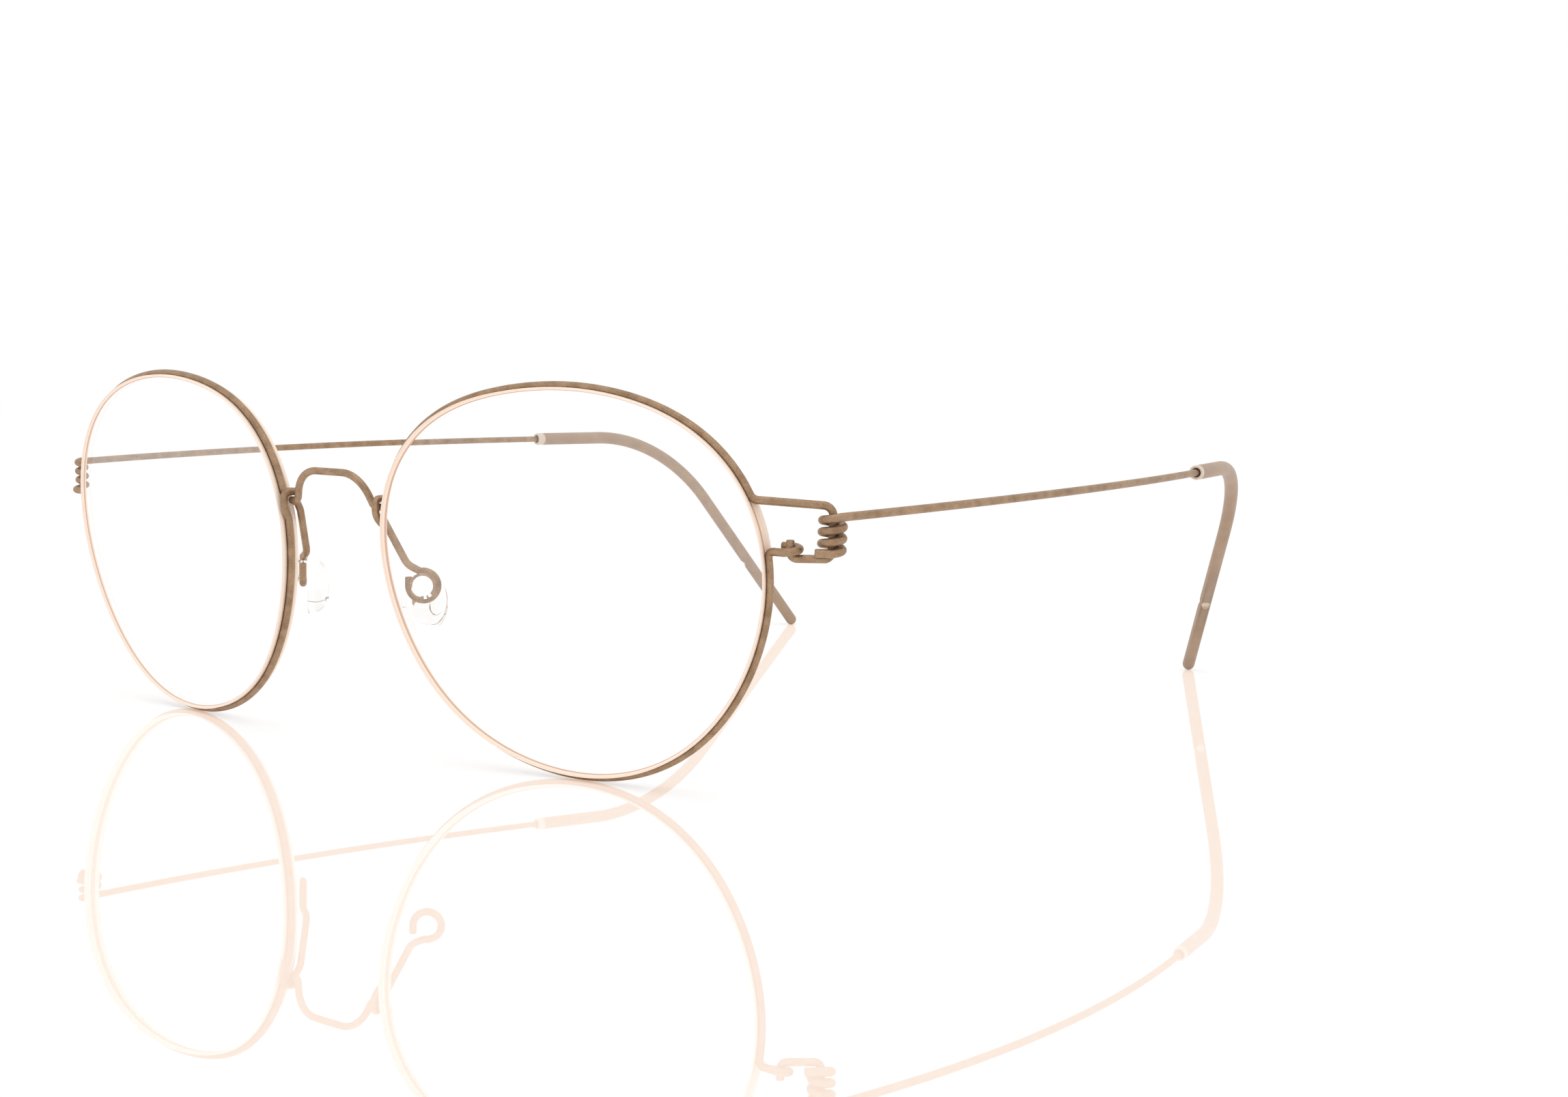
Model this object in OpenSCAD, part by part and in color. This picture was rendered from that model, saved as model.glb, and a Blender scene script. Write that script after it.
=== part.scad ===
// Screwless wire eyeglasses: two grooved lenses, each held by one springy titanium wire that also
// forms its hinge, a bridge wire linked to both, snap-on silicone pads, and coiled temple wires.
// +X is the wearer's left, the lenses face -Y, the temples run back along +Y and Z is up.
// The glasses stand on the lower rims and the temple tips.

/* [Lenses] */
// Width of a lens, to the centre line of its rim wire
lens_w = 48.4; // [44:0.1:52]
// Distance between the two lenses across the nose, to the rim wires' centre lines
nose_gap = 15.85; // [14:0.05:20]
// Thickness of a lens
lens_t = 2.1; // [1.6:0.1:2.6]
// How far a lens's edge lies inside the centre line of its rim wire
edge_inset = 0.14; // [0:0.02:0.2]
// Angle by which each lens turns back towards its temple
wrap = 7.7; // [3:0.1:10]
// Angle by which the top of each lens leans forward
tilt = 5.9; // [2:0.1:9]

/* [Wires] */
// Diameter of the rim and bridge wires
rim_wire = 0.85; // [0.7:0.01:0.95]
// Diameter of the temple wires
temple_wire = 0.9; // [0.7:0.01:0.95]
// Gap between two wires that touch or interlink
wire_gap = 0.06; // [0.04:0.01:0.1]
// Radius of a tight bend, to the wire's centre line
tight_bend = 0.7; // [0.6:0.05:0.9]
// Radius of an easy bend, to the wire's centre line
easy_bend = 1; // [0.8:0.05:1.2]

/* [Hinges] */
// Distance from the rim's upper corner out to the hinge axle
hinge_out = 6.75; // [5:0.05:8]
// Distance from the rim's upper corner back to the hinge axle
hinge_back = 4.08; // [3.4:0.05:6]
// How far the upper leg drops on its way out to the axle
hinge_drop = 0.42; // [0:0.05:0.8]
// Length of the hinge axle, between its two legs
axle_len = 5.15; // [4.8:0.05:6]
// Angle by which the top of the axle leans outward
axle_lean = 2.8; // [0:0.1:5]
// Running gap between the axle and the coil that turns on it
coil_gap = 0.15; // [0.05:0.01:0.2]
// Number of whole turns in a hinge coil
coil_turns = 3; // [2:1:3]
// Rise of the coil in one turn
coil_pitch = 1.13; // [1.05:0.01:1.3]
// Length of the straight tail that stops the hinge when it is open
stop_len = 1.7; // [1.2:0.1:2.2]
// Distance from the rim's lower corner out to the stub that its eye grips
stub_out = 2.1; // [1.8:0.1:2.6]

/* [Bridge and pads] */
// Height of the bridge's flat top above the links
bridge_rise = 2.6; // [1.6:0.1:4]
// Radius of the bend at each end of the flat top
bridge_bend = 4; // [2:0.1:4.4]
// Length of the arm from the link down to the pad ring
arm_len = 5.6; // [4.6:0.1:6.6]
// Inner diameter of a pad ring
ring_d = 2.25; // [2:0.05:2.8]
// Width of a nose pad
pad_w = 5.4; // [4.6:0.1:6.5]
// Height of a nose pad
pad_h = 7; // [6:0.1:9]
// Thickness of a nose pad on the nose side of its ring
pad_t = 2.6; // [1.8:0.1:3]

/* [Temples] */
// Distance from the hinge to the start of the sleeve
shaft_len = 79.7; // [70:0.1:90]
// Angle by which each temple heads in towards the head
toe_in = 3.4; // [1:0.05:6]
// Angle by which each temple rises towards the ear
rise = 1.25; // [0:0.05:3]
// Outward bow of the shaft
bow = 3.4; // [0:0.1:4]
// Upward bow of the shaft
bow_up = 0.4; // [0:0.1:1]
// Distance from the sleeve's open end to the corner of the ear bend
sleeve_front = 23.9; // [19:0.1:30]
// Angle of the ear bend
ear_turn = 61; // [50:1:70]
// Radius of the ear bend
ear_bend = 21; // [14:0.5:24]
// Outer diameter of the sleeve at its open end
sleeve_d = 1.9; // [1.6:0.05:2.4]
// Outer diameter of the sleeve at its closed tip
tip_d = 1.75; // [1.5:0.05:2.2]
// Diameter of the bore at the sleeve's open end
mouth_d = 1.15; // [1.1:0.05:1.3]
// Depth over which the bore narrows from the open end
mouth_len = 1.5; // [0.5:0.1:2.5]
// Length of the sleeve beyond the end of the wire inside it
solid_tip = 6; // [4:0.5:10]
// Diameter of the small round holes through the sleeve's wall, down to the wire
pin_hole_d = 1.2; // [0.8:0.1:1.4]
// Distance of those holes from the sleeve's closed tip
pin_hole_up = 12; // [8:0.5:20]

/* [Hidden] */

titanium = [0.62, 0.53, 0.44];
sleeve_brown = [0.36, 0.31, 0.27];
clear_lens = [0.86, 0.92, 0.94, 0.35];
clear_silicone = [0.9, 0.9, 0.88, 0.5];

wire_sides = 10;                // sides of a swept wire
turn_step = 24;                 // largest turn between two rings of a swept wire
bend_sag = 0.035 * rim_wire;    // largest distance between a swept bend and its true arc
end_chamfer = 0.12 * rim_wire;  // chamfer on a cut wire end
round_sides = 48;               // sides of a true cylinder

// ---- Vectors and lists ----
function unit(v) = v / norm(v);
function reversed(list) = [for (i = [len(list) - 1 : -1 : 0]) list[i]];
function mirrored(list) = [for (p = list) [-p.x, p.y, p.z]];
function plan_dir(a) = [cos(a), sin(a), 0];
function plan_angle(v) = atan2(v.y, v.x);

// ---- Wire bending ----
// A wire is a list of corners, each [point, bend radius]. A radius of 0 passes through the point.
function bent(corners) = [for (i = [0 : len(corners) - 1]) each bend_at(corners, i)];
function bend_at(corners, i) =
    let (p = corners[i][0], r = corners[i][1])
    (i == 0 || i == len(corners) - 1 || r == 0) ? [p] :
    let (a = unit(corners[i - 1][0] - p), b = unit(corners[i + 1][0] - p),
         turn = 180 - acos(max(-1, min(1, a * b))))
    turn < 1 ? [p] :
    let (inward = unit(a + b), onward = unit(b - a), centre = p + inward * r / cos(turn / 2),
         steps = ceil(turn / min(turn_step, 2 * acos(1 - bend_sag / r))))
    [for (k = [0 : steps]) let (phi = turn * (k / steps - 0.5))
        centre + r * (onward * sin(phi) - inward * cos(phi))];

// Direction of a path at its point i
function heading(path, i) =
    let (last = len(path) - 1)
    i == 0 ? unit(path[1] - path[0]) :
    i == last ? unit(path[last] - path[last - 1]) :
    unit(unit(path[i + 1] - path[i]) + unit(path[i] - path[i - 1]));
function square_to(v, t) = unit(v - (v * t) * t);
// A normal at each point of a path, carried along it without twisting
function normals(path) =
    let (t0 = heading(path, 0))
    [for (i = 0, n = square_to(abs(t0.z) < 0.8 ? [0, 0, 1] : [1, 0, 0], t0);
          i < len(path);
          i = i + 1, n = i < len(path) ? square_to(n, heading(path, i)) : n) n];
function ring(centre, t, n, r, sides) =
    let (b = cross(t, n))
    [for (k = [0 : sides - 1]) centre + r * (n * cos(360 * k / sides) + b * sin(360 * k / sides))];

// A closed solid through rings of equally many points, with a flat cap at each end
module skin(rings) {
    sides = len(rings[0]);
    last = len(rings) - 1;
    walls = [for (i = [0 : last - 1], k = [0 : sides - 1])
        let (a = i * sides + k, b = i * sides + (k + 1) % sides)
        each [[a, b, b + sides], [a, b + sides, a + sides]]];
    caps = [[for (k = [sides - 1 : -1 : 0]) k], [for (k = [0 : sides - 1]) last * sides + k]];
    polyhedron([for (r = rings) each r], [for (f = concat(walls, caps)) reversed(f)], 10);
}

// A round wire along a path, chamfered at both cut ends
module wire(path, d) {
    n = normals(path);
    last = len(path) - 1;
    t0 = heading(path, 0);
    t1 = heading(path, last);
    skin(concat(
        [ring(path[0], t0, n[0], d / 2 - end_chamfer, wire_sides),
         ring(path[0] + t0 * end_chamfer, t0, n[0], d / 2, wire_sides)],
        [for (i = [1 : last - 1]) ring(path[i], heading(path, i), n[i], d / 2, wire_sides)],
        [ring(path[last] - t1 * end_chamfer, t1, n[last], d / 2, wire_sides),
         ring(path[last], t1, n[last], d / 2 - end_chamfer, wire_sides)]));
}

// A true cylinder from one point to another
module rod(from, to, d, sides = round_sides) {
    v = to - from;
    translate(from)
        rotate([0, acos(v.z / norm(v)), plan_angle(v)])
            cylinder(h = norm(v), d = d, $fn = sides);
}

// ---- Lens outline ----
// Distance from the lens centre to the rim wire's centre line: nearly round, wider than high,
// with flattened top and fuller upper corners. Angle 0 is towards the temple and 90 is up.
mean_r = lens_w / 2.1705;
function rim_r(a) = mean_r * (1 + 0.086 * cos(2 * a) - 0.006 * sin(2 * a) + 0.031 * sin(3 * a)
    - 0.0045 * cos(4 * a) + 0.0025 * cos(5 * a) + 0.006 * sin(5 * a) - 0.0022 * cos(6 * a));
// A point of the lens plane, u towards the temple, v up and w back, in the frame of the glasses
function tilted(p) =
    let (x = p.x * cos(wrap) - p.z * sin(wrap), y = p.x * sin(wrap) + p.z * cos(wrap))
    [x, y * cos(tilt) - p.y * sin(tilt), y * sin(tilt) + p.y * cos(tilt)];
function from_middle(a) = tilted([rim_r(a) * cos(a), rim_r(a) * sin(a), 0]);
lens_c = [nose_gap / 2 - min([for (a = [120 : 240]) from_middle(a).x]),
          0,
          rim_wire / 2 - min([for (a = [240 : 300]) from_middle(a).z])];
function on_rim(a) = lens_c + from_middle(a);

rim_top_a = 21.4;  // where the rim wire leaves the lens for the hinge
rim_end_a = 369.2; // where its other end leaves the lens for the eye
knot_a = 162.8;    // where the rim wire leaves the lens for the link with the bridge
rejoin_a = 170;    // where it lies in the groove again below the link
rim_step = 4;      // angle between two rings of the wire round a lens

// ---- Link between rim and bridge, left side ----
link = rim_wire + wire_gap;                 // spacing of two wires that touch
hairpin = 0.55 * rim_wire + wire_gap / 2;   // radius of a hairpin bend, to the centre line
knot = on_rim(knot_a);
low_z = knot.z - link;                      // the bridge wire's hairpin
high_z = knot.z;                            // the rim wire's hairpin, right above it
rim_post = [knot.x - 1.05 * link, knot.y - 0.8 * link, 0];
bridge_post = rim_post + [-1.42 * link, 1.03 * link, 0];
post_gap = norm(bridge_post - rim_post);
post_turn = asin(link / post_gap);
reach = sqrt(post_gap * post_gap - link * link);
high_dir = plan_angle(bridge_post - rim_post) - post_turn;
low_dir = plan_angle(rim_post - bridge_post) + post_turn;
high_turn = rim_post + (reach + 0.22 * link) * plan_dir(high_dir);
low_turn = bridge_post + (reach - 0.02 * link) * plan_dir(low_dir);
function at_z(p, z) = [p.x, p.y, z];
rim_link = [
    [at_z(high_turn + 2 * hairpin * plan_dir(high_dir - 90), high_z), hairpin],
    [at_z(high_turn, high_z), hairpin],
    [at_z(rim_post, high_z), tight_bend],
    [at_z(rim_post, low_z - link), 2 * easy_bend]];

// ---- Bridge wire, left half, from the middle to the cut end of the pad ring ----
bridge_y = bridge_post.y - link;
bridge_z = low_z + link + bridge_rise;
arm_top = at_z(bridge_post, low_z) + link * [1.15, 1.3, -1.3];
arm_foot = arm_top + arm_len * unit([0.3, 0.435, -1]);
ring_r = (ring_d + rim_wire) / 2;
ring_c = arm_foot + ring_r * [1.065, 0.516, -1.42];
pad_face = 40.5;     // how far each pad turns from facing back to facing the nose
ring_from = 100;     // where the ring starts, next to the arm
ring_to = -180;      // where it turns into its short straight end
function ring_point(a) = ring_c + ring_r * (cos(a) * plan_dir(pad_face) + sin(a) * [0, 0, 1]);
half_bridge = bent(concat([
    [[0, bridge_y, bridge_z], 0],
    [[bridge_post.x - 1.55 * link, bridge_y, bridge_z], bridge_bend],
    [at_z(bridge_post, low_z), tight_bend],
    [at_z(low_turn, low_z), hairpin],
    [at_z(low_turn + 2 * hairpin * plan_dir(low_dir + 90), low_z - 0.4 * rim_wire), hairpin],
    [arm_top, tight_bend],
    [arm_foot, ring_r]],
    [for (a = [ring_from : -20 : ring_to]) [ring_point(a), 0]],
    [[ring_point(ring_to) + [0, 0, ring_r * 0.6], 0]]));

// ---- Hinge, left side ----
rim_top = on_rim(rim_top_a);
rim_end = on_rim(rim_end_a);
temple_dir = [-sin(toe_in) * cos(rise), cos(toe_in) * cos(rise), sin(rise)];
level_x = [cos(toe_in), sin(toe_in), 0];
axle_up = cross(level_x, temple_dir) * cos(axle_lean) + level_x * sin(axle_lean);
hinge_x = cross(temple_dir, axle_up);
axle_top = rim_top + [hinge_out, hinge_back, -hinge_drop];
axle_foot = axle_top - axle_len * axle_up;
// A point beside the axle: angle round it, distance from it and height above its foot
function by_axle(a, r, h) = axle_foot + r * (hinge_x * cos(a) + temple_dir * sin(a)) + h * axle_up;
stub = [rim_end.x + stub_out, rim_end.y + rim_wire, axle_foot.z];
stub_top = rim_end.z + 1.35 * rim_wire + wire_gap;
axle_from = 1.15 * tight_bend;            // the straight part of the axle
axle_to = axle_len - 1.1 * easy_bend;
axle_joint = rim_wire / 14;               // how far the axle's rod runs into the swept wire

// The eye at the rim wire's other end, which grips the stub
eye_r = link;
eye_gap = norm([stub.x - rim_end.x, stub.y - rim_end.y]);
eye_dir = plan_angle([stub.x - rim_end.x, stub.y - rim_end.y]) - asin(eye_r / eye_gap);
eye_sweep = 205;
eye_lift = 0.6 * rim_wire;
function eye_point(a) =
    at_z(stub + eye_r * plan_dir(eye_dir - 90 + a), rim_end.z + eye_lift * a / eye_sweep);
eye_end = eye_point(eye_sweep) + 1.3 * rim_wire * plan_dir(eye_dir + eye_sweep);

lower_leg = bent([
    [at_z(stub, stub_top), 0],
    [stub, tight_bend],
    [axle_foot, tight_bend],
    [by_axle(0, 0, axle_from), 0]]);
rim_path = bent(concat([
    [by_axle(0, 0, axle_to), 0],
    [axle_top, easy_bend],
    [rim_top, easy_bend]],
    [for (a = [rim_top_a + rim_step : rim_step : knot_a - 2]) [on_rim(a), 0]],
    [[knot, hairpin]],
    rim_link,
    [for (a = [rejoin_a : rim_step : rim_end_a - 2.5]) [on_rim(a), 0]],
    [[rim_end, tight_bend]],
    [for (a = [0 : eye_sweep / 10 : eye_sweep]) [eye_point(a), 0]],
    [[eye_end, 0]]));

// ---- Temple, left side ----
coil_r = (rim_wire + temple_wire) / 2 + coil_gap;
leg_dir = let (v = stub - axle_foot) atan2(v * temple_dir, v * hinge_x);
coil_from = leg_dir + 90;
bow_angle = atan(4 * bow / shaft_len);
bow_depth = norm([bow, bow_up]);
bow_r = bow_depth == 0 ? 0 : 0.98 * shaft_len * shaft_len / (8 * bow_depth);
coil_to = -bow_angle + 360 * coil_turns;
coil_z = (axle_len - coil_pitch * (coil_to - coil_from) / 360) / 2 - coil_gap;
function coil_point(a) = by_axle(a, coil_r, coil_z + coil_pitch * (a - coil_from) / 360);
coil_in = coil_point(coil_from);
coil_out = coil_point(coil_to);
tail_dir = hinge_x * cos(leg_dir) + temple_dir * sin(leg_dir);
bow_point = coil_out + temple_dir * shaft_len / 2 + hinge_x * 2 * bow + axle_up * 2 * bow_up;
sleeve_start = coil_out + temple_dir * shaft_len;
shaft_dir = unit(sleeve_start - bow_point);
ear_in = 21;         // how far the ear bend's plane turns in from upright
ear_corner = sleeve_start + shaft_dir * sleeve_front;
ear_side = [-sin(ear_in), 0, -cos(ear_in)];
ear_down = square_to(ear_side, shaft_dir);
tip_dir = shaft_dir * cos(ear_turn) + ear_down * sin(ear_turn);
tip = ear_corner + tip_dir * (ear_corner.z - tip_d / 2) / -tip_dir.z;
core_end = tip - tip_dir * solid_tip;
core_path = bent([
    [sleeve_start, 0],
    [ear_corner, ear_bend],
    [core_end, 0]]);
temple_path = concat(
    [coil_in + tail_dir * stop_len],
    [for (a = [coil_from : 22.5 : coil_to]) coil_point(a)],
    bent([[coil_out, 0], [bow_point, bow_r], [ear_corner, ear_bend], [core_end, 0]]));

mid_y = (bridge_y - rim_wire / 2 + tip.y + tip_d / 2) / 2;
// Sets a piece down with the middle of the glasses' outline at the origin
module centred() translate([0, -mid_y, 0]) children();
module right_side() mirror([1, 0, 0]) children();

// ---- Pieces ----
module lens() {
    groove_w = rim_wire + wire_gap;
    land = (lens_t - groove_w) / 2;
    groove_r = groove_w / 2;
    color(clear_lens)
        centred()
            translate(lens_c)
                rotate([tilt, 0, 0])
                    rotate([0, 0, wrap])
                        rotate([90, 0, 0]) {
                            translate([0, 0, -groove_r]) linear_extrude(groove_w) lens_outline(groove_r);
                            for (z = [-lens_t / 2, groove_r])
                                translate([0, 0, z]) linear_extrude(land) lens_outline(edge_inset);
                        }
}
module lens_outline(inset)
    polygon([for (a = [0 : 3 : 357]) (rim_r(a) - inset) * [cos(a), sin(a)]]);

module rim_wire_piece() {
    color(titanium)
        centred() {
            wire(lower_leg, rim_wire);
            rod(by_axle(0, 0, axle_from - axle_joint), by_axle(0, 0, axle_to + axle_joint), rim_wire);
            wire(rim_path, rim_wire);
        }
}

module nose_pad() {
    pad_drop = pad_h / 2 - ring_d / 2 - rim_wire * 0.7;
    side = rim_wire / 2 + wire_gap;  // from the middle of the ring to the pad beside it
    color(clear_silicone)
        centred()
            translate(ring_c)
                rotate([0, 0, pad_face])
                    rotate([-90, 0, 0]) {
                        translate([0, 0, -rim_wire])
                            cylinder(h = 2 * rim_wire, d = ring_d - wire_gap * 2, $fn = round_sides);
                        translate([0, 0, -side - rim_wire / 2]) pad_cap();
                        translate([0, pad_drop, side]) pad_dome();
                    }
}
// The cap behind the ring, which keeps the pad from slipping out
module pad_cap()
    cylinder(h = rim_wire / 2, d1 = ring_d * 0.7, d2 = ring_d + rim_wire * 0.8, $fn = round_sides);
// The domed face that rests on the nose
module pad_dome()
    intersection() {
        translate([-pad_w, -pad_h, 0]) cube([2 * pad_w, 2 * pad_h, pad_t]);
        hull()
            for (y = [pad_w - pad_h, pad_h - pad_w])
                translate([0, y / 2, 0]) sphere(d = pad_w, $fn = 24);
    }

module temple_wire_piece() color(titanium) centred() wire(temple_path, temple_wire);

// A sleeve with a round hole through its wall at each of some angles, 0 being towards the head
module sleeve(hole_angles) {
    hole_at = tip - tip_dir * pin_hole_up;
    to_head = unit(cross(shaft_dir, ear_down));
    to_front = cross(to_head, tip_dir);
    color(sleeve_brown)
        centred()
            difference() {
                sleeve_tube();
                for (a = hole_angles)
                    rod(hole_at, hole_at + sleeve_d * cos(a) * to_head + sleeve_d * sin(a) * to_front,
                        pin_hole_d, 24);
            }
}
// The tube itself: closed round tip, and a bore that is wider at its open end
module sleeve_tube() {
    n = normals(core_path);
    last = len(core_path) - 1;
    outer_d = [for (i = [0 : last]) sleeve_d + (tip_d - sleeve_d) * i / last];
    bore = [for (i = [0 : last]) i == 0 ? mouth_d : temple_wire + 2 * wire_gap];
    sides = wire_sides;
    skin(concat(
        [ring(core_end + tip_dir * 5 * wire_gap, tip_dir, n[last], bore[last] / 2, sides)],
        [for (i = [last - 1 : -1 : 1])
            ring(core_path[i], heading(core_path, i), n[i], bore[i] / 2, sides)],
        [ring(core_path[0] + shaft_dir * mouth_len, shaft_dir, n[0], bore[1] / 2, sides),
         ring(core_path[0], shaft_dir, n[0], mouth_d / 2, sides)],
        [for (i = [0 : last - 1])
            ring(core_path[i], heading(core_path, i), n[i], outer_d[i] / 2, sides)],
        [for (a = [0 : 15 : 75])
            ring(tip + tip_dir * tip_d / 2 * sin(a), tip_dir, n[last], tip_d / 2 * cos(a), sides)]));
}

module left_lens() lens();
module right_lens() right_side() lens();
module left_rim_wire() rim_wire_piece();
module right_rim_wire() right_side() rim_wire_piece();
module bridge_wire()
    color(titanium) centred()
        wire(concat(reversed(mirrored(half_bridge)),
                    [for (i = [1 : len(half_bridge) - 1]) half_bridge[i]]), rim_wire);
module left_nose_pad() nose_pad();
module right_nose_pad() right_side() nose_pad();
module left_temple_wire() temple_wire_piece();
module right_temple_wire() right_side() temple_wire_piece();
module left_sleeve() sleeve([0, 120]);
module right_sleeve() right_side() sleeve([120]);

left_lens();
right_lens();
left_rim_wire();
right_rim_wire();
bridge_wire();
left_nose_pad();
right_nose_pad();
left_temple_wire();
right_temple_wire();
left_sleeve();
right_sleeve();
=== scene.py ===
"""A pair of screwless eyeglasses bent from titanium wire, with grooved lenses, linked bridge, coiled hinges,
clear nose pads and silicone temple sleeves, standing on a glossy white table."""

import math

import bmesh
import bpy
from mathutils import Matrix, Vector


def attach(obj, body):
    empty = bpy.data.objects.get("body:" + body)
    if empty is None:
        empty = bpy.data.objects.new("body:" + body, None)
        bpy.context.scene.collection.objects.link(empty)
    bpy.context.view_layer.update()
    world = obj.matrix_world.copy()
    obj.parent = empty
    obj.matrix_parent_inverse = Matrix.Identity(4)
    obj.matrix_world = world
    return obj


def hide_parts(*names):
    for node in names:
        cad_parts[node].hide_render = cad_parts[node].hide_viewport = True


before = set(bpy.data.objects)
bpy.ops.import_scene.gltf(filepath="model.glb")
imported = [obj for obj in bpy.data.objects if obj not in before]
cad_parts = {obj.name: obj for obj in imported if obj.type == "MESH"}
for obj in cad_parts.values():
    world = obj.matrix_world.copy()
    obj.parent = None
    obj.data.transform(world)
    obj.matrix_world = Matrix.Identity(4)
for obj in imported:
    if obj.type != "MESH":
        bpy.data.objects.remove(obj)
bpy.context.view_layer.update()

# ---------------------------------------------------------------- camera
# A normal lens in front of the wearer's left side, 4 cm above the table, looking slightly down. Lengths are in
# mm from here up to the table, and are turned to metres where an object or a finished mesh is set down.
MM = 0.001
EYE = Vector((190.37, -223.995, 44.192))
YAW, PITCH, ROLL = math.radians(38.473), math.radians(4.925), math.radians(1.068)

aim = Vector((-math.sin(YAW) * math.cos(PITCH), math.cos(YAW) * math.cos(PITCH), -math.sin(PITCH)))
camera = bpy.data.objects.new("camera", bpy.data.cameras.new("camera"))
turn = aim.to_track_quat("-Z", "Y").to_matrix().to_4x4() @ Matrix.Rotation(ROLL, 4, "Z")
camera.matrix_world = Matrix.Translation(EYE * MM) @ turn
camera.data.sensor_width = 36
camera.data.lens = 51.2
camera.data.clip_start = 0.01
bpy.context.scene.collection.objects.link(camera)
bpy.context.scene.camera = camera

# ---------------------------------------------------------------- lenses
# Flat clear plastic, polished on both faces. The edge is ground matt, with a groove all round it in which
# the rim wire lies, and each lens stands a little proud of its wire, front and back.
LENS_W, LENS_T, NOSE_GAP = 48.4, 2.1, 15.85
WRAP, TILT = math.radians(7.7), math.radians(5.9)
RIM_WIRE, WIRE_GAP = 0.85, 0.06
EDGE_INSET, EDGE_BEVEL = 0.14, 0.07
GROOVE, GROOVE_DEPTH = RIM_WIRE + WIRE_GAP, 0.395
MID_Y = 59.9591       # from the lenses' middle back to the middle of the glasses' outline
OUTLINE_W = 2.1705    # the lens outline's width, in mean radii
MEAN_R = LENS_W / OUTLINE_W
# Waves round the lens that shape its outline: how many, and the cosine and sine parts of each
OUTLINE = ((2, 0.086, -0.006), (3, 0, 0.031), (4, -0.0045, 0), (5, 0.0025, 0.006), (6, -0.0022, 0))


def rim_r(a):
    """Distance from the lens centre to the rim wire's middle. 0 is towards the temple, a quarter turn is up."""
    return MEAN_R * (1 + sum(c * math.cos(n * a) + s * math.sin(n * a) for n, c, s in OUTLINE))


def tilted(u, v, w=0.0):
    """A vector of the lens plane: u towards the temple, v up and w back."""
    return Matrix.Rotation(TILT, 3, "X") @ Matrix.Rotation(WRAP, 3, "Z") @ Vector((u, w, v))


def steps(start, stop, count):
    """count + 1 evenly spaced values from start to stop."""
    return [start + (stop - start) * i / count for i in range(count + 1)]


round_lens = [tilted(rim_r(a) * math.cos(a), rim_r(a) * math.sin(a)) for a in steps(0, 2 * math.pi, 360)]
LENS_C = Vector((NOSE_GAP / 2 - min(p.x for p in round_lens), 0, RIM_WIRE / 2 - min(p.z for p in round_lens)))


def colour(code):
    """A linear RGBA colour from an sRGB hex code."""
    parts = [int(code[i:i + 2], 16) / 255 for i in (1, 3, 5)]
    return [c / 12.92 if c <= 0.04045 else ((c + 0.055) / 1.055) ** 2.4 for c in parts] + [1.0]


def add_node(tree, kind, inputs, stops=(), **settings):
    """A shader node with its settings, and its inputs, each a value or another node's output. A colour ramp also
    has stops, each (place from 0 to 1, hex code)."""
    node = tree.nodes.new(kind)
    for key, value in settings.items():
        setattr(node, key, value)
    for position, code in stops[1:-1]:
        node.color_ramp.elements.new(position)
    for i, (position, code) in enumerate(stops):
        node.color_ramp.elements[i].position = position
        node.color_ramp.elements[i].color = colour(code)
    for key, value in inputs.items():
        if isinstance(value, bpy.types.NodeSocket):
            tree.links.new(value, node.inputs[key])
        else:
            node.inputs[key].default_value = value
    return node.outputs[0]


def material(name, surface=None, **inputs):
    """A material of that name. surface(tree) gives the shader's inputs that vary over the surface."""
    made = bpy.data.materials.new(name)
    made.use_nodes = True
    tree = made.node_tree
    shader = tree.nodes["Principled BSDF"]
    for key, value in inputs.items():
        shader.inputs[key.replace("_", " ")].default_value = value
    for key, output in (surface(tree) if surface else {}).items():
        tree.links.new(output, shader.inputs[key])
    return made


def polish(tree):
    """Faint unevenness of a polished plastic face, about 7 mm from wave to wave."""
    point = tree.nodes.new("ShaderNodeTexCoord").outputs["Object"]
    waves = add_node(tree, "ShaderNodeTexNoise", {"Vector": point, "Scale": 0.15 / MM, "Detail": 1})
    return {"Roughness": add_node(tree, "ShaderNodeMapRange", {"Value": waves, "To Min": 0.0, "To Max": 0.02})}


def grinding(tree):
    """Marks of the grinding wheel. The real ones are too fine to show, so these are drawn ten to a millimetre."""
    point = tree.nodes.new("ShaderNodeTexCoord").outputs["Object"]
    marks = add_node(tree, "ShaderNodeTexNoise", {"Vector": point, "Scale": 10 / MM, "Detail": 2})
    return {"Normal": add_node(tree, "ShaderNodeBump", {"Strength": 0.3, "Distance": 0.02 * MM, "Height": marks})}


def lit_through(made):
    """Lets lamplight and light already scattered or mirrored go straight through a clear material."""
    tree = made.node_tree
    ray = tree.nodes.new("ShaderNodeLightPath")
    clear = add_node(tree, "ShaderNodeBsdfTransparent", {})
    surface = tree.nodes["Principled BSDF"].outputs[0]
    for kind in ("Is Reflection Ray", "Is Shadow Ray"):
        surface = add_node(tree, "ShaderNodeMixShader", {0: ray.outputs[kind], 1: surface, 2: clear})
    tree.links.new(surface, tree.nodes["Material Output"].inputs["Surface"])
    return made


# Polished lens plastic: clear as glass, with sharp reflections.
lens_plastic = lit_through(material("polished_lens_plastic", polish, Base_Color=colour("#ffffff"),
                                    Transmission_Weight=1, IOR=1.5))
# The same plastic ground matt: it scatters the light that the lens gathers and looks milky, a little warm; the
# warmth is a painted reflection of the brown wire beside it.
ground_edge = material("ground_lens_edge", grinding, Base_Color=colour("#fdebdb"), Roughness=0.9, IOR=1.5)
# The bottom of its groove: as milky, but painted with the brown and the shade of the wire that lies against it.
groove_wire_shade = material("lens_groove_wire_shade", grinding, Base_Color=colour("#d6b197"), Roughness=0.9, IOR=1.5)


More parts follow.
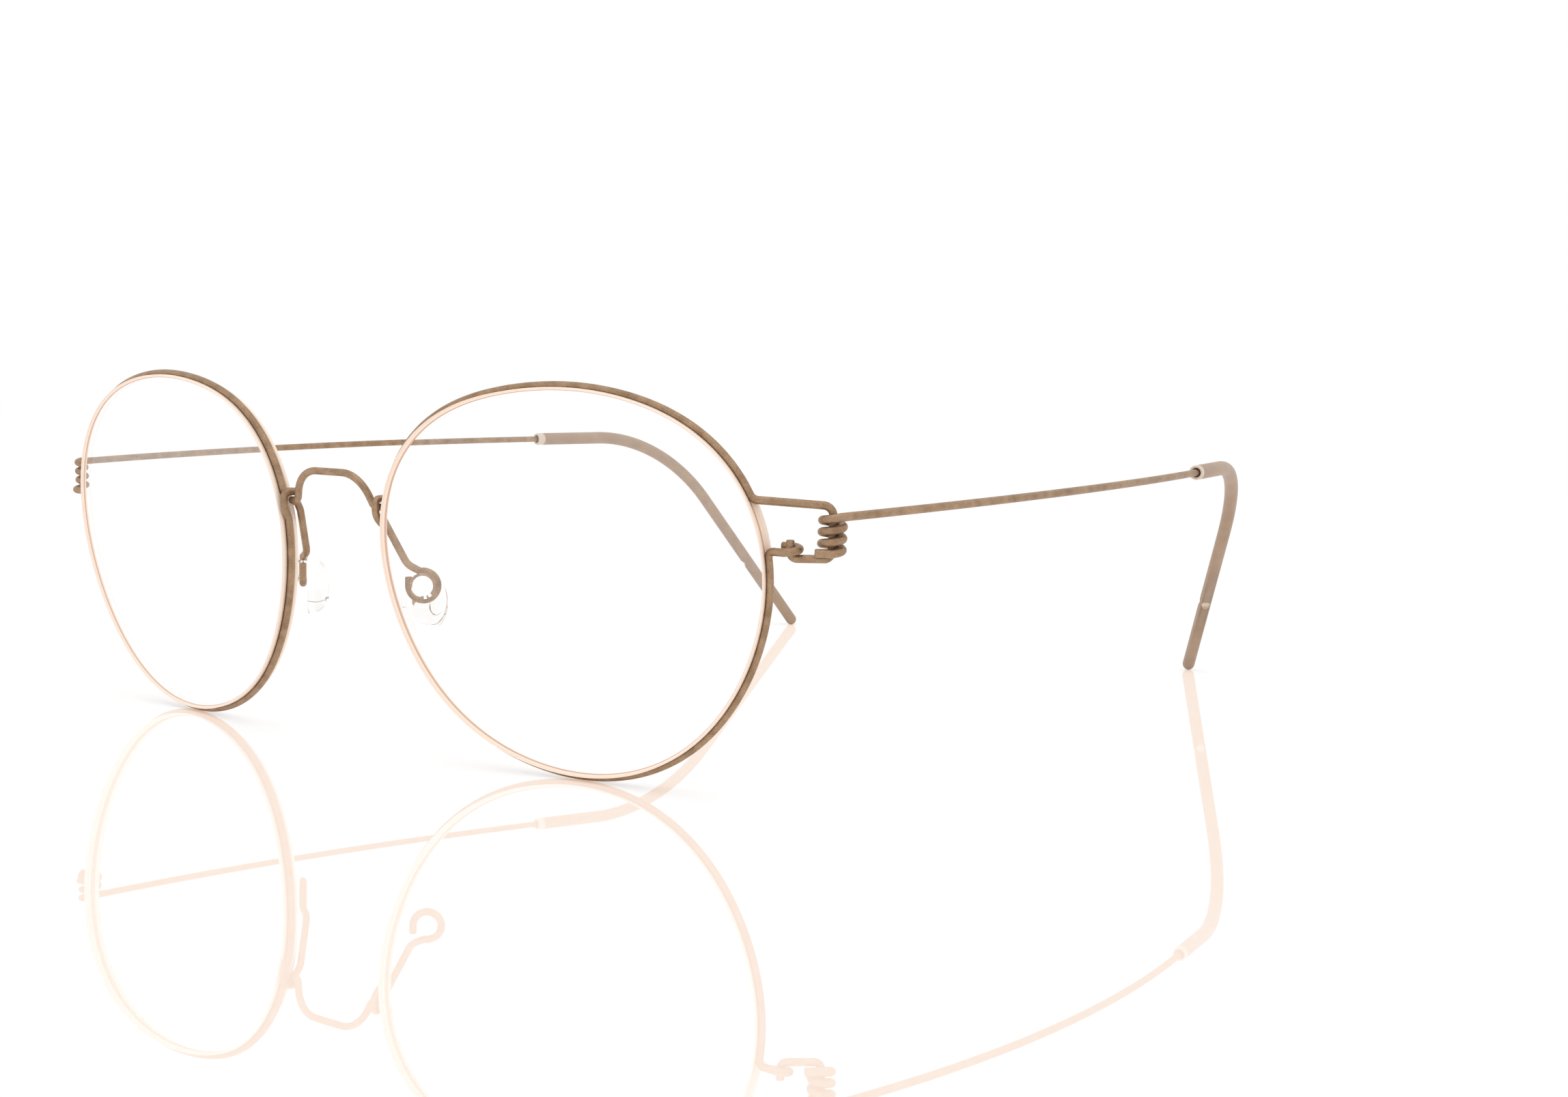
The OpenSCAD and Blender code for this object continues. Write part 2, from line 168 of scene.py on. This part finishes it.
def moved(bm, mesh_name):
    """Ends a bmesh made in mm round the lenses' middle: a mesh in metres round the glasses' origin."""
    bmesh.ops.translate(bm, verts=bm.verts, vec=(0, -MID_Y, 0))
    bmesh.ops.scale(bm, verts=bm.verts, vec=(MM, MM, MM))
    bmesh.ops.recalc_face_normals(bm, faces=bm.faces)
    mesh = bpy.data.meshes.new(mesh_name)
    bm.to_mesh(mesh)
    bm.free()
    return mesh


def mirrored(mesh):
    """The right-hand twin of a left-hand mesh."""
    twin = mesh.copy()
    twin.transform(Matrix.Scale(-1, 4, (1, 0, 0)))
    twin.flip_normals()
    return twin


def place(name, mesh, body, slot, node, *finishes):
    """Puts a mesh in place of a node, with its finishes, on a body."""
    piece = bpy.data.objects.new(name, mesh)
    bpy.context.scene.collection.objects.link(piece)
    for finish in finishes:
        mesh.materials.append(finish)
    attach(piece, body)
    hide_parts(node)


def pair(name, mesh, body, slot, node, *finishes):
    """Puts a left-hand mesh and its mirror image in place of a pair of nodes."""
    for side, shape in (("left", mesh), ("right", mirrored(mesh))):
        place(f"{side}_{name}", shape, body.format(side), slot, f"{side}_{node}", *finishes)


def set_on(point, *axes):
    """The matrix that sets a shape down on a point, with its own x, y and z along the axes."""
    return Matrix.Translation(point) @ Matrix(axes).transposed().to_4x4()


def loft(stations, sides):
    """A closed solid: one circle, extruded from each station's matrix to the next, with both ends filled."""
    bm = bmesh.new()
    bmesh.ops.create_circle(bm, segments=sides, radius=1, matrix=stations[0])
    edges = bm.edges[:]
    bmesh.ops.contextual_create(bm, geom=edges)
    for before, after in zip(stations, stations[1:]):
        grown = bmesh.ops.extrude_edge_only(bm, edges=edges)["geom"]
        edges = [g for g in grown if isinstance(g, bmesh.types.BMEdge) and not g.link_faces[1:]]
        corners = [g for g in grown if isinstance(g, bmesh.types.BMVert)]
        bmesh.ops.transform(bm, matrix=after @ before.inverted(), verts=corners)
    bmesh.ops.contextual_create(bm, geom=edges)
    for face in bm.faces:
        face.smooth = len(face.verts) == 4
    return bm


def clear_lens():
    """The left lens. Its profile goes from the front face down into the groove and up again to the back."""
    land = [(LENS_T / 2, EDGE_INSET + EDGE_BEVEL), (LENS_T / 2 - EDGE_BEVEL, EDGE_INSET), (GROOVE / 2, EDGE_INSET)]
    brink = 0.2    # angle at which the groove's curve starts
    profile = land + [(GROOVE / 2 * math.cos(a), EDGE_INSET + GROOVE_DEPTH * math.sin(a))
                      for a in steps(brink, math.pi - brink, 8)]
    profile += [(-w, inset) for w, inset in land[::-1]]
    bm = loft([Matrix.LocRotScale((0, 0, w), None, (MEAN_R - inset, MEAN_R - inset, 1)) for w, inset in profile],
              sides=360)
    for corner in bm.verts:
        a = math.atan2(corner.co.y, corner.co.x)
        corner.co.xy *= rim_r(a) / MEAN_R
    floor_edge = 0.35 * GROOVE    # how far the groove's bottom reaches to each side of its middle
    # The groove's bottom takes the painted wire brown and shade, the rest of the edge the ground matt plastic.
    for face in bm.faces:
        if face.smooth:
            face.material_index = 2 if max(abs(v.co.z) for v in face.verts) < floor_edge else 1
    facing = set_on(LENS_C, tilted(1, 0), tilted(0, 1), tilted(0, 0, -1))
    bmesh.ops.transform(bm, verts=bm.verts, matrix=facing)
    return moved(bm, "clear_lens")


pair("clear_lens", clear_lens(), "front", "lens", "lens", lens_plastic, ground_edge, groove_wire_shade)

# ---------------------------------------------------------------- rim wires
# One wire of coated beta titanium a side, bent cold. From a stub it makes the hinge's lower leg, its axle and
# upper leg, then goes round the lens with a loop for the bridge, and ends in an eye that grips the stub.
WIRE_ROUND = 0.96    # a round wire about as thick as its ten-sided solid
TIGHT_BEND, EASY_BEND = 0.7, 1.0
HINGE_OUT, HINGE_BACK, HINGE_DROP = 6.75, 4.08, 0.42
AXLE_LEN, AXLE_LEAN, STUB_OUT = 5.15, math.radians(2.8), 2.1
TOE_IN, RISE = math.radians(3.4), math.radians(1.25)
# Degrees round the lens at which the wire leaves it for the hinge, leaves it for the loop, comes back to it and
# leaves it for the eye
RIM_TOP_A, KNOT_A, REJOIN_A, RIM_END_A = 21.4, 162.8, 170, 369.2
AFTER_TOP, BEFORE_KNOT, BEFORE_END = 4, 2, 3    # degrees kept free for the bends at three of them
UP = Vector((0, 0, 1))


def on_rim(degrees):
    """The rim wire's middle at an angle round the lens."""
    a = math.radians(degrees)
    return LENS_C + tilted(rim_r(a) * math.cos(a), rim_r(a) * math.sin(a))


def plan_dir(a):
    """The level direction at an angle, seen from above."""
    return Vector((math.cos(a), math.sin(a), 0))


def plan_angle(v):
    """The angle of a direction, seen from above."""
    return math.atan2(v.y, v.x)


def at_z(p, z):
    """The point over or under p at height z."""
    return Vector((p.x, p.y, z))


def bent(*corners):
    """Points along a wire bent at corners, each (point, bend radius). Radius 0 passes through the point."""
    slight, largest_turn, sag = math.radians(1), math.radians(7), 0.004
    points = []
    for i, (p, r) in enumerate(corners):
        if i in (0, len(corners) - 1) or r == 0:
            points.append(p)
            continue
        a = (corners[i - 1][0] - p).normalized()
        b = (corners[i + 1][0] - p).normalized()
        angle = math.pi - a.angle(b)
        if angle < slight:
            points.append(p)
            continue
        inward, onward = (a + b).normalized(), (b - a).normalized()
        centre = p + inward * r / math.cos(angle / 2)
        count = max(2, math.ceil(angle / min(largest_turn, 2 * math.acos(1 - sag / r))))
        points += [centre + r * (onward * math.sin(t) - inward * math.cos(t))
                   for t in steps(-angle / 2, angle / 2, count)]
    return points


def wire(name, path, d):
    """The mesh of a round wire along a path, its cut ends a little rounded."""
    d *= WIRE_ROUND
    first, last = (path[1] - path[0]).normalized(), (path[-2] - path[-1]).normalized()
    edge = ((0, 0.72), (0.02, 0.84), (0.06, 0.95), (0.12, 1))    # how far in from the cut, share of the radius
    points = [(path[0] + first * s, r) for s, r in edge] + [(p, 1) for p in path[1:-1]]
    points += [(path[-1] + last * s, r) for s, r in edge[::-1]]
    curve = bpy.data.curves.new(name, "CURVE")
    curve.dimensions = "3D"
    curve.bevel_depth = d / 2
    curve.bevel_resolution = 10
    curve.use_fill_caps = True
    spline = curve.splines.new("POLY")
    spline.points.add(len(points) - 1)
    for point, (p, r) in zip(spline.points, points):
        point.co = (*p, 1)
        point.radius = r
    swept = bpy.data.objects.new(name, curve)
    bm = bmesh.new()
    bm.from_mesh(bpy.data.meshes.new_from_object(swept))
    bpy.data.objects.remove(swept)
    bmesh.ops.remove_doubles(bm, verts=bm.verts, dist=0.0001)
    for face in bm.faces:
        face.smooth = len(face.verts) == 4
    return moved(bm, name)


def blasted_coat(tree):
    """Brown coat over blasted wire, its tone in clouds about 1.5 mm wide. The blasting's grain is too fine to
    show, so it is drawn nine to a millimetre."""
    point = tree.nodes.new("ShaderNodeTexCoord").outputs["Object"]
    grain = add_node(tree, "ShaderNodeTexNoise", {"Vector": point, "Scale": 9 / MM, "Detail": 3})
    clouds = add_node(tree, "ShaderNodeTexNoise", {"Vector": point, "Scale": 0.7 / MM, "Detail": 4})
    mixed = add_node(tree, "ShaderNodeMath", {0: grain, 1: clouds}, operation="ADD")
    tone = add_node(tree, "ShaderNodeMapRange", {"Value": mixed, "From Min": 0.75, "From Max": 1.25})
    return {"Base Color": add_node(tree, "ShaderNodeValToRGB", {"Fac": tone}, ((0, "#8c7055"), (1, "#b5977a"))),
            "Roughness": add_node(tree, "ShaderNodeMapRange", {"Value": clouds, "To Min": 0.36, "To Max": 0.5}),
            "Normal": add_node(tree, "ShaderNodeBump", {"Strength": 0.25, "Distance": 0.02 * MM, "Height": grain})}


# Beta titanium wire, glass-blasted and coated brown: satin, with soft highlights.
coated_titanium = material("coated_titanium", blasted_coat, Metallic=0.75)

LINK = RIM_WIRE + WIRE_GAP                     # spacing of two wires that touch
HAIRPIN = 0.55 * RIM_WIRE + WIRE_GAP / 2       # radius of a hairpin bend
# In link spacings, seen from above: from the knot to the rim wire's post, from there to the bridge wire's post,
# and how far each wire's hairpin reaches past the other's post
TO_RIM_POST, TO_BRIDGE_POST = Vector((-1.05, -0.8, 0)), Vector((-1.42, 1.03, 0))
HIGH_PAST, LOW_PAST = 0.22, -0.02
knot = on_rim(KNOT_A)
low_z = knot.z - LINK                          # the bridge wire's hairpin, right under the rim wire's
rim_post = at_z(knot + LINK * TO_RIM_POST, 0)
bridge_post = rim_post + LINK * TO_BRIDGE_POST
post_gap = (bridge_post - rim_post).length
post_turn = math.asin(LINK / post_gap)
reach = math.sqrt(post_gap ** 2 - LINK ** 2)
high_dir = plan_angle(bridge_post - rim_post) - post_turn
low_dir = plan_angle(rim_post - bridge_post) + post_turn
high_turn = rim_post + (reach + HIGH_PAST * LINK) * plan_dir(high_dir)

rim_top, rim_end = on_rim(RIM_TOP_A), on_rim(RIM_END_A)
temple_dir = Vector((-math.sin(TOE_IN) * math.cos(RISE), math.cos(TOE_IN) * math.cos(RISE), math.sin(RISE)))
level_x = plan_dir(TOE_IN)
axle_up = level_x.cross(temple_dir) * math.cos(AXLE_LEAN) + level_x * math.sin(AXLE_LEAN)
axle_top = rim_top + Vector((HINGE_OUT, HINGE_BACK, -HINGE_DROP))
axle_foot = axle_top - AXLE_LEN * axle_up
stub = Vector((rim_end.x + STUB_OUT, rim_end.y + RIM_WIRE, axle_foot.z))
stub_top = at_z(stub, rim_end.z + 1.35 * RIM_WIRE + WIRE_GAP)
to_stub = at_z(stub - rim_end, 0)
eye_dir = plan_angle(to_stub) - math.asin(LINK / to_stub.length)
EYE_SWEEP, EYE_LIFT, EYE_TAIL = math.radians(205), 0.6 * RIM_WIRE, 1.3 * RIM_WIRE


def eye_point(a):
    """A point of the eye that the rim wire's other end bends round the stub, after a turn of a."""
    return at_z(stub + LINK * plan_dir(eye_dir - math.pi / 2 + a), rim_end.z + EYE_LIFT * a / EYE_SWEEP)


rim_path = bent(
    (stub_top, 0), (stub, TIGHT_BEND), (axle_foot, TIGHT_BEND), (axle_top, EASY_BEND), (rim_top, EASY_BEND),
    *((on_rim(a), 0) for a in steps(RIM_TOP_A + AFTER_TOP, KNOT_A - BEFORE_KNOT, count=90)),
    (knot, HAIRPIN),
    (at_z(high_turn + 2 * HAIRPIN * plan_dir(high_dir - math.pi / 2), knot.z), HAIRPIN),
    (at_z(high_turn, knot.z), HAIRPIN), (at_z(rim_post, knot.z), TIGHT_BEND),
    (at_z(rim_post, low_z - LINK), 2 * EASY_BEND),
    *((on_rim(a), 0) for a in steps(REJOIN_A, RIM_END_A - BEFORE_END, count=130)),
    (rim_end, TIGHT_BEND),
    *((eye_point(a), 0) for a in steps(0, EYE_SWEEP, count=36)),
    (eye_point(EYE_SWEEP) + EYE_TAIL * plan_dir(eye_dir + EYE_SWEEP), 0))
pair("rim", wire("rim", rim_path, RIM_WIRE), "front", "titanium_wire", "rim_wire", coated_titanium)

# ---------------------------------------------------------------- bridge wire
# One wire of the same titanium from pad ring to pad ring. It rises to a flat arch between two posts, and at the
# foot of each it turns a hairpin under the rim wire's loop, so that the two wires hold each other.
BRIDGE_RISE, BRIDGE_BEND, ARM_LEN, RING_D = 2.6, 4.0, 5.6, 2.25
PAD_FACE = math.radians(40.5)    # how far each pad turns from facing back to facing the nose
RING_FROM, RING_TO = 100, -180   # degrees round the ring at which it starts and at which its short end leaves it
# From the bridge wire's post to the arm's top in link spacings, and from the arm's foot to the ring in ring radii
TO_ARM, TO_RING = Vector((1.15, 1.3, -1.3)), Vector((1.065, 0.516, -1.42))
ARM_DIR = Vector((0.3, 0.435, -1)).normalized()
ARCH_IN, LOW_DROP, RING_TAIL = 1.55 * LINK, 0.4 * RIM_WIRE, 0.6
ring_r = (RING_D + RIM_WIRE) / 2

bridge_y = bridge_post.y - LINK
bridge_z = low_z + LINK + BRIDGE_RISE
low_turn = bridge_post + (reach + LOW_PAST * LINK) * plan_dir(low_dir)
arm_top = at_z(bridge_post, low_z) + LINK * TO_ARM
arm_foot = arm_top + ARM_LEN * ARM_DIR
ring_c = arm_foot + ring_r * TO_RING


def ring_point(degrees):
    """A point of the pad ring, at an angle round it from its outer side up."""
    a = math.radians(degrees)
    return ring_c + ring_r * (math.cos(a) * plan_dir(PAD_FACE) + math.sin(a) * UP)


half_bridge = bent(
    (Vector((0, bridge_y, bridge_z)), 0),
    (Vector((bridge_post.x - ARCH_IN, bridge_y, bridge_z)), BRIDGE_BEND),
    (at_z(bridge_post, low_z), TIGHT_BEND), (at_z(low_turn, low_z), HAIRPIN),
    (at_z(low_turn + 2 * HAIRPIN * plan_dir(low_dir + math.pi / 2), low_z - LOW_DROP), HAIRPIN),
    (arm_top, TIGHT_BEND), (arm_foot, ring_r),
    *((ring_point(a), 0) for a in steps(RING_FROM, RING_TO, count=56)),
    (ring_point(RING_TO) + UP * ring_r * RING_TAIL, 0))
bridge_path = [Vector((-p.x, p.y, p.z)) for p in half_bridge[:0:-1]] + half_bridge
place("bridge", wire("bridge", bridge_path, RIM_WIRE), "front", "titanium_wire", "bridge_wire", coated_titanium)

# ---------------------------------------------------------------- nose pads
# Moulded clear silicone: a soft dome towards the nose, a neck through the wire ring and a cap behind it that
# keeps the pad from slipping out.
PAD_W, PAD_H, PAD_T = 5.4, 7.0, 2.6


def skin_grain(tree):
    """The soft unevenness of a silicone moulding, half a millimetre from wave to wave."""
    point = tree.nodes.new("ShaderNodeTexCoord").outputs["Object"]
    waves = add_node(tree, "ShaderNodeTexNoise", {"Vector": point, "Scale": 2 / MM, "Detail": 2})
    return {"Normal": add_node(tree, "ShaderNodeBump", {"Strength": 0.2, "Distance": 0.02 * MM, "Height": waves})}


# Clear silicone: soft and bright, bends the light a little less than glass.
clear_silicone = lit_through(material("clear_silicone", skin_grain, Base_Color=colour("#fffefc"),
                                      Transmission_Weight=1, Roughness=0.02, IOR=1.41))


def nose_pad():
    """The left pad, built up from behind its wire ring, through it and out to the dome."""
    base = RIM_WIRE / 2 + WIRE_GAP
    drop = PAD_H / 2 - RING_D / 2 - RIM_WIRE * 0.7
    neck = RING_D / 2 - WIRE_GAP
    cap = RING_D / 2 + RIM_WIRE * 0.4
    wide, high = PAD_W / 2, PAD_H / 2
    edge, crown, fullness = 0.12, PAD_T - 0.14, 0.8    # the dome's rounded edge, the height and curve of the rest
    # each station: place towards the nose, half width, half height, how far its middle hangs down
    stations = [(-base - back, share * cap, share * cap, 0)
                for back, share in ((0.42, 0.6), (0.38, 0.78), (0.1, 0.98), (0.02, 0.96))]
    stations += [(-base, neck, neck, 0), (base, neck, neck, 0),
                 (base + 0.02, 0.94 * wide, 0.95 * high, drop), (base + edge, 0.99 * wide, 0.99 * high, drop)]
    for t in steps(0.12, 1.5, 12):
        round_off = math.cos(t) ** fullness
        stations.append((base + edge + crown * math.sin(t), wide * round_off, high * round_off, drop))
    bm = loft([Matrix.LocRotScale((0, -low, out), None, (half_w, half_h, 1))
               for out, half_w, half_h, low in stations], sides=48)
    for face in bm.faces:
        face.smooth = True
    facing = set_on(ring_c, plan_dir(PAD_FACE), UP, plan_dir(PAD_FACE + math.pi / 2))
    bmesh.ops.transform(bm, verts=bm.verts, matrix=facing)
    return moved(bm, "nose_pad")


pair("nose_pad_form", nose_pad(), "front", "pad_silicone", "nose_pad", clear_silicone)

# ---------------------------------------------------------------- temple wires
# One wire a side. It stops on the hinge's lower leg, winds three turns up round the axle, bows back to the ear
# and ends inside the sleeve.
TEMPLE_WIRE = 0.9
COIL_GAP, COIL_TURNS, COIL_PITCH, STOP_LEN = 0.15, 3, 1.13, 1.7
SHAFT_LEN, BOW, BOW_UP = 79.7, 3.4, 0.4
SLEEVE_FRONT, EAR_TURN, EAR_BEND, EAR_IN = 23.9, math.radians(61), 21.0, math.radians(21)
TIP_D, SOLID_TIP = 1.75, 6.0

hinge_x = temple_dir.cross(axle_up)
to_leg = stub - axle_foot
leg_dir = math.atan2(to_leg.dot(temple_dir), to_leg.dot(hinge_x))
coil_from = leg_dir + math.pi / 2
coil_to = 2 * math.pi * COIL_TURNS - math.atan(4 * BOW / SHAFT_LEN)
coil_z = (AXLE_LEN - COIL_PITCH * (coil_to - coil_from) / (2 * math.pi)) / 2 - COIL_GAP


def coil_point(a):
    """A point of the coil after a turn of a round the axle."""
    out = hinge_x * math.cos(a) + temple_dir * math.sin(a)
    return (axle_foot + out * ((RIM_WIRE + TEMPLE_WIRE) / 2 + COIL_GAP)
            + axle_up * (coil_z + COIL_PITCH * (a - coil_from) / (2 * math.pi)))


coil_out = coil_point(coil_to)
bow_point = coil_out + temple_dir * SHAFT_LEN / 2 + hinge_x * 2 * BOW + axle_up * 2 * BOW_UP
bow_r = 0.98 * SHAFT_LEN ** 2 / (8 * math.hypot(BOW, BOW_UP))    # the bend takes up nearly all of the shaft
sleeve_start = coil_out + temple_dir * SHAFT_LEN
shaft_dir = (sleeve_start - bow_point).normalized()
ear_corner = sleeve_start + shaft_dir * SLEEVE_FRONT
ear_side = Vector((-math.sin(EAR_IN), 0, -math.cos(EAR_IN)))
ear_down = (ear_side - shaft_dir * ear_side.dot(shaft_dir)).normalized()
tip_dir = shaft_dir * math.cos(EAR_TURN) + ear_down * math.sin(EAR_TURN)
tip = ear_corner + tip_dir * (ear_corner.z - TIP_D / 2) / -tip_dir.z
core_end = tip - tip_dir * SOLID_TIP
tail_dir = hinge_x * math.cos(leg_dir) + temple_dir * math.sin(leg_dir)
temple_path = [coil_point(coil_from) + STOP_LEN * tail_dir]
temple_path += [coil_point(a) for a in steps(coil_from, coil_to, count=170)[:-1]]
temple_path += bent((coil_out, 0), (bow_point, bow_r), (ear_corner, EAR_BEND), (core_end, 0))
pair("temple", wire("temple", temple_path, TEMPLE_WIRE), "{}_temple", "titanium_wire", "temple_wire",
     coated_titanium)

# ---------------------------------------------------------------- sleeves
# Matt brown-grey silicone tube pushed on to the temple wire, open in front, with a closed round tip. Small round
# holes are moulded into its wall above the tip, down to a thin floor over the wire.
SLEEVE_D, MOUTH_D, MOUTH_LEN = 1.9, 1.15, 1.5
SLEEVE_ROUND = 0.98    # a round sleeve about as thick as its ten-sided solid
END_GAP = 0.3          # from the wire's end to the end of the bore
PIN_HOLE_D, PIN_HOLE_UP, PIN_HOLE_FLOOR = 1.2, 12, 0.55


def silicone_grain(tree):
    """The mould's grain. The real one is too fine to show, so it is drawn six to a millimetre."""
    point = tree.nodes.new("ShaderNodeTexCoord").outputs["Object"]
    grain = add_node(tree, "ShaderNodeTexNoise", {"Vector": point, "Scale": 6 / MM, "Detail": 2})
    return {"Normal": add_node(tree, "ShaderNodeBump", {"Strength": 0.3, "Distance": 0.02 * MM, "Height": grain})}


def silicone_skin(tree):
    """Matt moulded skin: paler in the first millimetre of its mouth, with soft clouds 2.5 mm wide."""
    point = tree.nodes.new("ShaderNodeTexCoord").outputs["Object"]
    split = tree.nodes.new("ShaderNodeSeparateXYZ")
    tree.links.new(point, split.inputs["Vector"])
    start = (sleeve_start.y - MID_Y) * MM
    lip = add_node(tree, "ShaderNodeMapRange", {"Value": split.outputs["Y"], "From Min": start + 1.2 * MM,
                                                "From Max": start + 0.8 * MM})
    clouds = add_node(tree, "ShaderNodeTexNoise", {"Vector": point, "Scale": 0.4 / MM, "Detail": 3})
    body = add_node(tree, "ShaderNodeMapRange", {"Value": clouds, "From Min": 0.3, "From Max": 0.7, "To Max": 0.5})
    where = add_node(tree, "ShaderNodeMath", {0: body, 1: lip}, operation="MAXIMUM")
    tone = add_node(tree, "ShaderNodeValToRGB", {"Fac": where}, ((0, "#a18873"), (0.5, "#ae957e"), (1, "#d9c9ba")))
    rough = add_node(tree, "ShaderNodeMapRange", {"Value": clouds, "To Min": 0.42, "To Max": 0.6})
    return {"Base Color": tone, "Roughness": rough} | silicone_grain(tree)


# Silicone rubber, moulded matt: no sharp highlights, and edges that look a little paler.
brown_silicone = material("brown_silicone", silicone_skin, IOR=1.41, Sheen_Weight=0.2, Sheen_Roughness=0.4)
# The same rubber in the thin floor of a hole, painted paler: painted light for the light from behind that shines
# through it.
thin_silicone = material("thin_silicone", silicone_grain, Base_Color=colour("#d8c6b5"), Roughness=0.6, IOR=1.41)

core_path = bent((sleeve_start, 0), (ear_corner, EAR_BEND), (core_end, 0))
to_head = shaft_dir.cross(ear_down).normalized()
to_front = to_head.cross(tip_dir)


def station(p, t, d):
    """The matrix of a circle of diameter d round p, square to t."""
    return set_on(p, to_head * d / 2, to_head.cross(t) * d / 2, t)


def sleeve():
    """The left tube, from the closed end of its bore out to the mouth, over the lip and back along its outside."""
    count = len(core_path) - 1
    ways = [(core_path[min(i + 1, count)] - core_path[max(i - 1, 0)]).normalized() for i in range(count + 1)]
    bore = TEMPLE_WIRE + 2 * WIRE_GAP
    inner = [(core_end + tip_dir * END_GAP, tip_dir, bore)]
    inner += [(core_path[i], ways[i], bore) for i in range(count - 1, 0, -1)]
    # the flared mouth and the rounded lip: how far in from the open end, and the width there
    inner += [(sleeve_start + shaft_dir * s, shaft_dir, d)
              for s, d in ((MOUTH_LEN, bore), (0.25, MOUTH_D - 0.02), (0.08, MOUTH_D + 0.06))]
    outer = [(sleeve_start + shaft_dir * s, shaft_dir, SLEEVE_D - cut)
             for s, cut in ((0, 0.42), (0.02, 0.26), (0.09, 0.1), (0.22, 0.02))]
    outer += [(core_path[i], ways[i], SLEEVE_D + (TIP_D - SLEEVE_D) * i / count) for i in range(1, count)]
    outer += [(tip + tip_dir * math.sin(a) * TIP_D / 2, tip_dir, math.cos(a) * TIP_D) for a in steps(0, 1.5, 10)]
    outer = [(p, t, d * SLEEVE_ROUND) for p, t, d in outer]
    bm = loft([station(*ring) for ring in inner + outer], sides=40)
    for face in bm.faces:
        face.smooth = True
    return moved(bm, "sleeve")


def pin_holes(piece, *degrees):
    """Cuts small holes into a left-hand sleeve's mesh, each at an angle round it, 0 being towards the head."""
    middle, pin_len = tip - tip_dir * PIN_HOLE_UP, 1.2
    for a in map(math.radians, degrees):
        out = to_head * math.cos(a) + to_front * math.sin(a)
        aimed = out.to_track_quat("Z", "Y").to_matrix().to_4x4()
        bm = bmesh.new()
        bmesh.ops.create_cone(bm, cap_ends=True, segments=32, radius1=PIN_HOLE_D / 2, radius2=PIN_HOLE_D / 2,
                              depth=pin_len,
                              matrix=Matrix.Translation(middle + out * (PIN_HOLE_FLOOR + pin_len / 2)) @ aimed)
        drill = bpy.data.objects.new("drill", moved(bm, "drill"))
        # the hole's floor gets the rubber painted paler for light shining through it
        drill.data.materials.append(thin_silicone)
        bpy.context.scene.collection.objects.link(drill)
        cut = piece.modifiers.new("hole", "BOOLEAN")
        cut.object = drill
        cut.material_mode = "TRANSFER"
        solid = bpy.data.meshes.new_from_object(piece.evaluated_get(bpy.context.evaluated_depsgraph_get()))
        piece.modifiers.remove(cut)
        piece.data = solid
        bpy.data.objects.remove(drill)


def drilled_sleeve(*degrees):
    """The mesh of a left-hand sleeve with its holes."""
    tube = bpy.data.objects.new("tube", sleeve())
    tube.data.materials.append(brown_silicone)
    bpy.context.scene.collection.objects.link(tube)
    pin_holes(tube, *degrees)
    mesh = tube.data
    bpy.data.objects.remove(tube)
    return mesh


place("left_silicone_sleeve", drilled_sleeve(0, 120), "left_temple", "sleeve_silicone", "left_sleeve")
place("right_silicone_sleeve", mirrored(drilled_sleeve(120)), "right_temple", "sleeve_silicone", "right_sleeve")

# ---------------------------------------------------------------- table and light
# A glossy white table in a white room, lit by one large soft lamp overhead, all in metres. Where the table is
# seen, part of its white is a glow that shadows don't darken. All other light meets a plain glossy white.
MIRRORED = (0.1, 0.27, 0.36)    # how much of each colour the gloss mirrors
SHADED = 0.4                    # how much of the white under it a shadow can take away
bm = bmesh.new()
bmesh.ops.create_grid(bm, x_segments=1, y_segments=1, size=4)
table = bpy.data.objects.new("white_table", bpy.data.meshes.new("white_table"))
bm.to_mesh(table.data)
bm.free()
gloss = bpy.data.materials.new("white_gloss")
gloss.use_nodes = True
tree = gloss.node_tree
ray = tree.nodes.new("ShaderNodeLightPath")
seen = ray.outputs["Is Camera Ray"]
for kind in ("Is Glossy Ray", "Is Transmission Ray"):
    seen = add_node(tree, "ShaderNodeMath", {0: seen, 1: ray.outputs[kind]}, operation="MAXIMUM")
under = add_node(tree, "ShaderNodeBsdfDiffuse", {"Color": [1 - c for c in MIRRORED] + [1]})
lit = add_node(tree, "ShaderNodeBsdfDiffuse", {"Color": (SHADED, SHADED, SHADED, 1)})
white = add_node(tree, "ShaderNodeEmission", {"Color": [1 - SHADED - c for c in MIRRORED] + [1]})
shown = add_node(tree, "ShaderNodeAddShader", {0: lit, 1: white})
under = add_node(tree, "ShaderNodeMixShader", {0: seen, 1: under, 2: shown})
over = add_node(tree, "ShaderNodeBsdfGlossy", {"Color": [*MIRRORED, 1], "Roughness": 0.01})
both = add_node(tree, "ShaderNodeAddShader", {0: under, 1: over})
tree.links.new(both, tree.nodes["Material Output"].inputs["Surface"])
table.data.materials.append(gloss)
bpy.context.scene.collection.objects.link(table)

lamp = bpy.data.objects.new("soft_lamp", bpy.data.lights.new("soft_lamp", "AREA"))
lamp.data.size = 0.9
lamp.data.energy = 1
lamp.location = (0.1, -0.1, 0.9)
lamp.rotation_euler = (Vector((0, 0, 0)) - lamp.location).to_track_quat("-Z", "Y").to_euler()
bpy.context.scene.collection.objects.link(lamp)

room = bpy.data.worlds.new("white_room")
room.use_nodes = True
room.node_tree.nodes["Background"].inputs["Color"].default_value = (1, 1, 1, 1)
bpy.context.scene.world = room
bpy.context.scene.view_settings.view_transform = "Standard"
